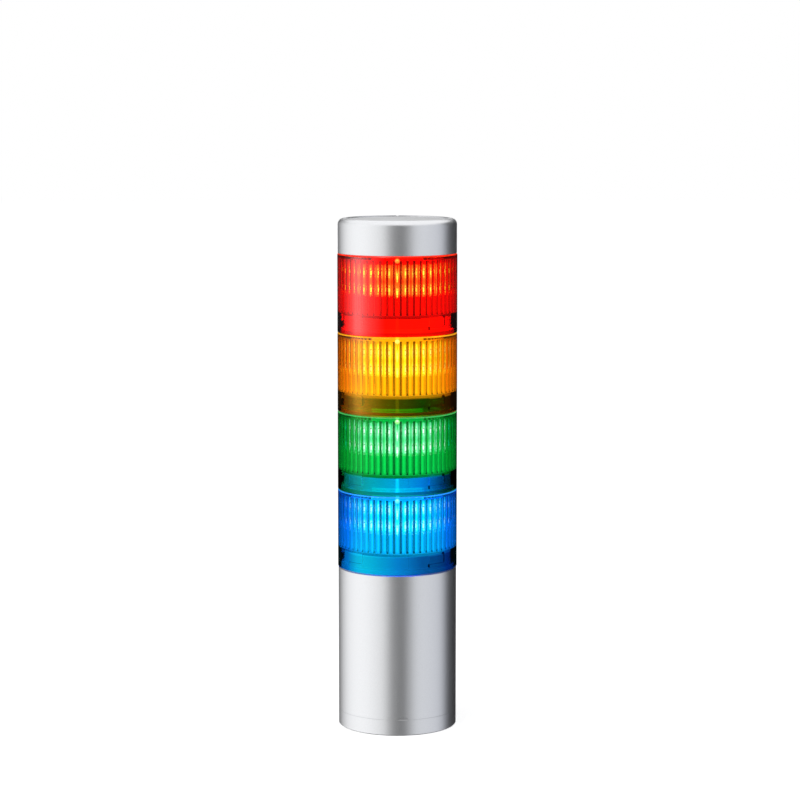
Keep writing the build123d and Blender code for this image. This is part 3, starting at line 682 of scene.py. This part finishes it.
class STACKLIGHT_OT_studio(bpy.types.Operator):
    """Makes the white floor, the lamps, the reflector panels and the camera"""
    bl_idname = "stack_light.studio"
    bl_label = "Studio"
    bl_options = {"REGISTER", "UNDO"}

    def execute(self, context):
        scene = context.scene
        studio = scene.studio_look
        scene.view_settings.view_transform = "Standard"
        self.camera(scene, studio)
        self.world(scene, studio)
        self.floor(studio)
        self.lamp("key_lamp", KEY_PLACE, KEY_WIDTH, studio.key)
        self.lamp("fill_lamp", FILL_PLACE, FILL_WIDTH, FILL_SHARE * studio.key)
        self.reflectors()
        return {"FINISHED"}

    def camera(self, scene, studio):
        """Camera a little above the middle of the tower, looking down a little."""
        data = bpy.data.cameras.new("camera")
        data.lens = studio.camera_lens
        data.sensor_width = 36
        data.clip_start = 0.01
        eye = bpy.data.objects.new("camera", data)
        eye.location = studio.camera_place
        eye.rotation_euler = (math.pi / 2 - studio.camera_tilt, 0, 0)
        scene.collection.objects.link(eye)
        scene.camera = eye

    def world(self, scene, studio):
        """White where the camera, gloss and glass look at it, a plain grey light otherwise."""
        world = bpy.data.worlds.new("studio")
        world.use_nodes = True
        scene.world = world
        tree = world.node_tree
        tree.nodes.clear()
        seen = self.looked_at(tree)
        grey = add(tree, "ShaderNodeBackground", {"Color": (1, 1, 1, 1), "Strength": studio.ambient})
        white = add(tree, "ShaderNodeBackground", {"Color": (1, 1, 1, 1), "Strength": 1.0})
        mix = add(tree, "ShaderNodeMixShader", {0: seen, 1: grey.outputs[0], 2: white.outputs[0]})
        add(tree, "ShaderNodeOutputWorld", {"Surface": mix.outputs[0]})

    def looked_at(self, tree):
        """1 for what the camera sees, straight, in gloss or through glass, and 0 for what only lights."""
        rays = add(tree, "ShaderNodeLightPath")
        seen = add(tree, "ShaderNodeMath", {
            0: rays.outputs["Is Camera Ray"], 1: rays.outputs["Is Glossy Ray"]}, operation="MAXIMUM")
        return add(tree, "ShaderNodeMath", {
            0: seen.outputs[0], 1: rays.outputs["Is Transmission Ray"]}, operation="MAXIMUM").outputs[0]

    def floor(self, studio):
        """White table top: it keeps the contact shadow, and is lifted to white where it is looked at."""
        material = bpy.data.materials.new("white_table_laminate")
        material.use_nodes = True
        tree = material.node_tree
        tree.nodes.clear()
        lift = add(tree, "ShaderNodeMath", {0: self.looked_at(tree), 1: studio.floor_lift},
                   operation="MULTIPLY")
        place = add(tree, "ShaderNodeTexCoord").outputs["Object"]
        noise = add(tree, "ShaderNodeTexNoise", {"Vector": place, "Scale": 1 / FLOOR_GRAIN})
        tone = add(tree, "ShaderNodeValToRGB", {"Fac": noise.outputs["Fac"]})
        stops(tone, (0.3, 0.93), (0.7, 0.95))
        white = add(tree, "ShaderNodeBsdfDiffuse", {"Color": tone.outputs["Color"]})
        glow = add(tree, "ShaderNodeEmission", {"Color": (1, 1, 1, 1), "Strength": lift.outputs[0]})
        both = add(tree, "ShaderNodeAddShader", {0: white.outputs[0], 1: glow.outputs[0]})
        add(tree, "ShaderNodeOutputMaterial", {"Surface": both.outputs[0]})
        shape = bmesh.new()
        bmesh.ops.create_grid(shape, x_segments=4, y_segments=4, size=FLOOR_REACH)
        bmesh.ops.translate(shape, vec=(0, 0, -FLOOR_GAP), verts=shape.verts)
        table = self.staged("floor", shape, material)
        table.visible_glossy = False

    def staged(self, name, shape, material):
        """Studio object that is no part of the stack light."""
        mesh = bpy.data.meshes.new(name)
        shape.to_mesh(mesh)
        shape.free()
        mesh.materials.append(material)
        thing = bpy.data.objects.new(name, mesh)
        bpy.context.scene.collection.objects.link(thing)
        return thing

    def lamp(self, name, place, size, watts):
        """Soft lamp that lights dull surfaces; gloss sees the reflector panels instead."""
        data = bpy.data.lights.new(name, "AREA")
        data.size = size
        data.energy = watts
        lamp = bpy.data.objects.new(name, data)
        lamp.location = place
        lamp.rotation_euler = (Vector(LAMP_AIM) - Vector(place)).to_track_quat("-Z", "Y").to_euler()
        lamp.visible_camera = False
        lamp.visible_glossy = False
        lamp.visible_transmission = False
        bpy.context.scene.collection.objects.link(lamp)

    def reflectors(self):
        """Rings of bright and dark panels round the object, as a photographer sets up for gloss: an inner
        ring that only the silver parts mirror, and an outer one for everything else."""
        silver = self.ring("silver_reflectors", OPEN_WALL, SILVER_PANELS, EVEN_LEVELS, True)
        clear = self.ring("clear_reflectors", CLOSED_WALL, CLEAR_PANELS, CLEAR_LEVELS, False)
        top = self.panel_glow(
            "overhead_panel", lambda tree: {"Color": (1, 1, 1, 1), "Strength": OVERHEAD_GLOW}, True)
        shape = bmesh.new()
        bmesh.ops.create_cone(shape, cap_ends=True, segments=64, radius1=OVERHEAD_WIDE,
                              radius2=OVERHEAD_NARROW, depth=OVERHEAD_TALL)
        lowest = min(shape.faces, key=lambda f: f.calc_center_median().z)
        bmesh.ops.delete(shape, geom=[lowest], context="FACES_ONLY")
        bmesh.ops.translate(shape, vec=(0, 0, OVERHEAD_UP), verts=shape.verts)
        overhead = self.hidden(self.staged("overhead_reflector", shape, top))
        painted = bpy.data.collections.new("silver_pieces")
        others = bpy.data.collections.new("clear_and_inner_pieces")
        silver_names = [f"{node}_skin" for node in SILVER_NODES]
        for piece in bpy.data.objects:
            if piece.type == "MESH" and piece not in (silver, clear, overhead):
                (painted if piece.name in silver_names else others).objects.link(piece)
        silver.light_linking.receiver_collection = painted
        overhead.light_linking.receiver_collection = painted
        clear.light_linking.receiver_collection = others

    def panel_glow(self, name, light, see_through):
        """Material that glows, and may let what is behind it shine through too."""
        material = bpy.data.materials.new(name)
        material.use_nodes = True
        tree = material.node_tree
        tree.nodes.clear()
        glow = add(tree, "ShaderNodeEmission", light(tree))
        if see_through:
            clear = add(tree, "ShaderNodeBsdfTransparent")
            glow = add(tree, "ShaderNodeAddShader", {0: glow.outputs[0], 1: clear.outputs[0]})
        add(tree, "ShaderNodeOutputMaterial", {"Surface": glow.outputs[0]})
        return material

    def ring(self, name, wall, panels, levels, see_through):
        """Round wall of panels, brighter and darker by the angle and by the height."""
        def light(tree):
            place = add(tree, "ShaderNodeTexCoord").outputs["Object"]
            turned = add(tree, "ShaderNodeMapping", {"Vector": place, "Rotation": (0, 0, math.pi / 2)})
            round_about = add(tree, "ShaderNodeTexGradient", {"Vector": turned.outputs[0]},
                              gradient_type="RADIAL")
            row = add(tree, "ShaderNodeValToRGB", {"Fac": round_about.outputs["Fac"]})
            stops(row, *[((angle + 180) / 360, shade(colour, 1 / PANEL_PEAK)) for angle, colour in panels])
            height = add(tree, "ShaderNodeSeparateXYZ", {"Vector": place}).outputs["Z"]
            up = add(tree, "ShaderNodeMapRange", {"Value": height, "From Max": LEVEL_TOP})
            level = add(tree, "ShaderNodeValToRGB", {"Fac": up.outputs["Result"]})
            stops(level, *[(place_m / LEVEL_TOP, share) for place_m, share in levels])
            panel = add(tree, "ShaderNodeVectorMath", {0: row.outputs["Color"], 1: level.outputs["Color"]},
                        operation="MULTIPLY")
            return {"Color": panel.outputs[0], "Strength": PANEL_PEAK}
        material = self.panel_glow(name, light, see_through)
        shape = bmesh.new()
        corners = [shape.verts.new((radius, 0, height)) for radius, height in wall]
        edges = [shape.edges.new(pair) for pair in zip(corners, corners[1:])]
        bmesh.ops.spin(shape, geom=corners + edges, cent=(0, 0, 0), axis=(0, 0, 1), angle=2 * math.pi,
                       steps=96, use_merge=True)
        return self.hidden(self.staged(name, shape, material))

    def hidden(self, panel):
        """Keeps a panel out of the picture and out of the shadows."""
        panel.visible_camera = False
        panel.visible_diffuse = False
        panel.visible_shadow = False
        return panel


# Floor: half its side, how far it lies under the foot, and the size of its faint grain. Studio sizes and
# places without a unit are in metres
FLOOR_REACH = 6.0
FLOOR_GAP = 0.02 * MM
FLOOR_GRAIN = 20 * MM
# Lamps: where they stand, how wide they are, what they point at, and the fill lamp's share of the key's power
KEY_PLACE = (-1.2, -1.0, 1.1)
KEY_WIDTH = 1.2
FILL_PLACE = (1.3, -0.8, 0.9)
FILL_WIDTH = 1.0
FILL_SHARE = 0.5
LAMP_AIM = (0, 0, 0.13)
# Walls of the two reflector rings: radius and height of each corner, from the foot up
OPEN_WALL = ((0.28, -0.39), (0.28, 0.4))
CLOSED_WALL = ((0, -0.4), (0.3, -0.4), (0.3, 0.6), (0.21, 0.76), (0, 0.76))
# Overhead panel, a hood that narrows upwards: its radii, height, the height of its middle, and brightness
OVERHEAD_WIDE = 0.28
OVERHEAD_NARROW = 0.12
OVERHEAD_TALL = 0.15
OVERHEAD_UP = 0.476
OVERHEAD_GLOW = 1.6
# Brightness of the reflector panels by the angle round the object, in degrees from the viewer's side towards
# +X, and the brightness that a ramp counts as full
CLEAR_PANELS = [
    (-180, 0.03), (-120, 0.03), (-105, 0.35), (-93, 0.95), (-83, 2.2), (-73, 2.34), (-63, 1.5), (-55, 0.95),
    (-46, 0.6), (-38, 0.35), (-30, 0.14), (-22, 0.03), (100, 0.03), (120, 0.02), (160, 0.01), (175, 0.03),
]
SILVER_PANELS = [
    (-180, 0.62), (-173, 0.5), (-165, 0.0), (-148, 0.02), (-132, 0.6), (-120, 1.05), (-108, 1.45),
    (-84, 1.66), (-60, 1.64), (-36, 1.42), (-24, 1.42), (-12, 0.33), (0, 0.26), (12, 0.08), (22, 0.6),
    (34, (1.22, 1.24, 1.28)), (60, (1.08, 1.1, 1.15)), (88, (1.0, 1.02, 1.09)), (96, (0.68, 0.7, 0.76)),
    (108, 0.03), (165, 0.01), (173, 0.5),
]
PANEL_PEAK = 2.4
# Share of a ring's panels by height, and the height that these shares end at
LEVEL_TOP = 0.3
EVEN_LEVELS = ((0, 1.0), (LEVEL_TOP, 1.0))
CLEAR_LEVELS = (
    (0.02, 0.0), (0.032, (0.02, 0.5, 0.5)), (0.045, (0.02, 0.4, 0.4)), (0.055, 0.02), (0.1, 0.06),
    (0.122, 0.1), (0.128, (1.0, 0.62, 0.14)), (0.138, (1.0, 0.62, 0.14)), (0.146, 0.15), (0.168, 0.25),
    (0.176, 1.0), (LEVEL_TOP, 1.0))


class STACKLIGHT_PT_sidebar(bpy.types.Panel):
    """Sidebar that lists the stack light's pieces and looks"""
    bl_label = "Stack light"
    bl_idname = "STACKLIGHT_PT_sidebar"
    bl_space_type = "VIEW_3D"
    bl_region_type = "UI"
    bl_category = "Stack light"

    def draw(self, context):
        for operator in OPERATORS:
            self.layout.operator(operator.bl_idname)
        for group in ("globe_look", "led_look", "silver_look", "studio_look"):
            box = self.layout.box()
            settings = getattr(context.scene, group)
            for name in settings.__annotations__:
                box.prop(settings, name)


OPERATORS = (
    STACKLIGHT_OT_silver,
    STACKLIGHT_OT_globes,
    STACKLIGHT_OT_light_engines,
    STACKLIGHT_OT_necks,
    STACKLIGHT_OT_contacts,
    STACKLIGHT_OT_main_board,
    STACKLIGHT_OT_studio,
)
GROUPS = {
    "globe_look": GlobeSettings,
    "led_look": LedSettings,
    "silver_look": SilverSettings,
    "studio_look": StudioSettings,
}


def register():
    for name, group in GROUPS.items():
        bpy.utils.register_class(group)
        setattr(bpy.types.Scene, name, bpy.props.PointerProperty(type=group))
    for operator in OPERATORS:
        bpy.utils.register_class(operator)
    bpy.utils.register_class(STACKLIGHT_PT_sidebar)


def unregister():
    bpy.utils.unregister_class(STACKLIGHT_PT_sidebar)
    for operator in reversed(OPERATORS):
        bpy.utils.unregister_class(operator)
    for name, group in reversed(GROUPS.items()):
        delattr(bpy.types.Scene, name)
        bpy.utils.unregister_class(group)


def main():
    register()
    bpy.ops.stack_light.silver()
    bpy.ops.stack_light.globes()
    bpy.ops.stack_light.light_engines()
    bpy.ops.stack_light.necks()
    bpy.ops.stack_light.contacts()
    bpy.ops.stack_light.main_board()
    bpy.ops.stack_light.studio()


if __name__ == "__main__":
    main()
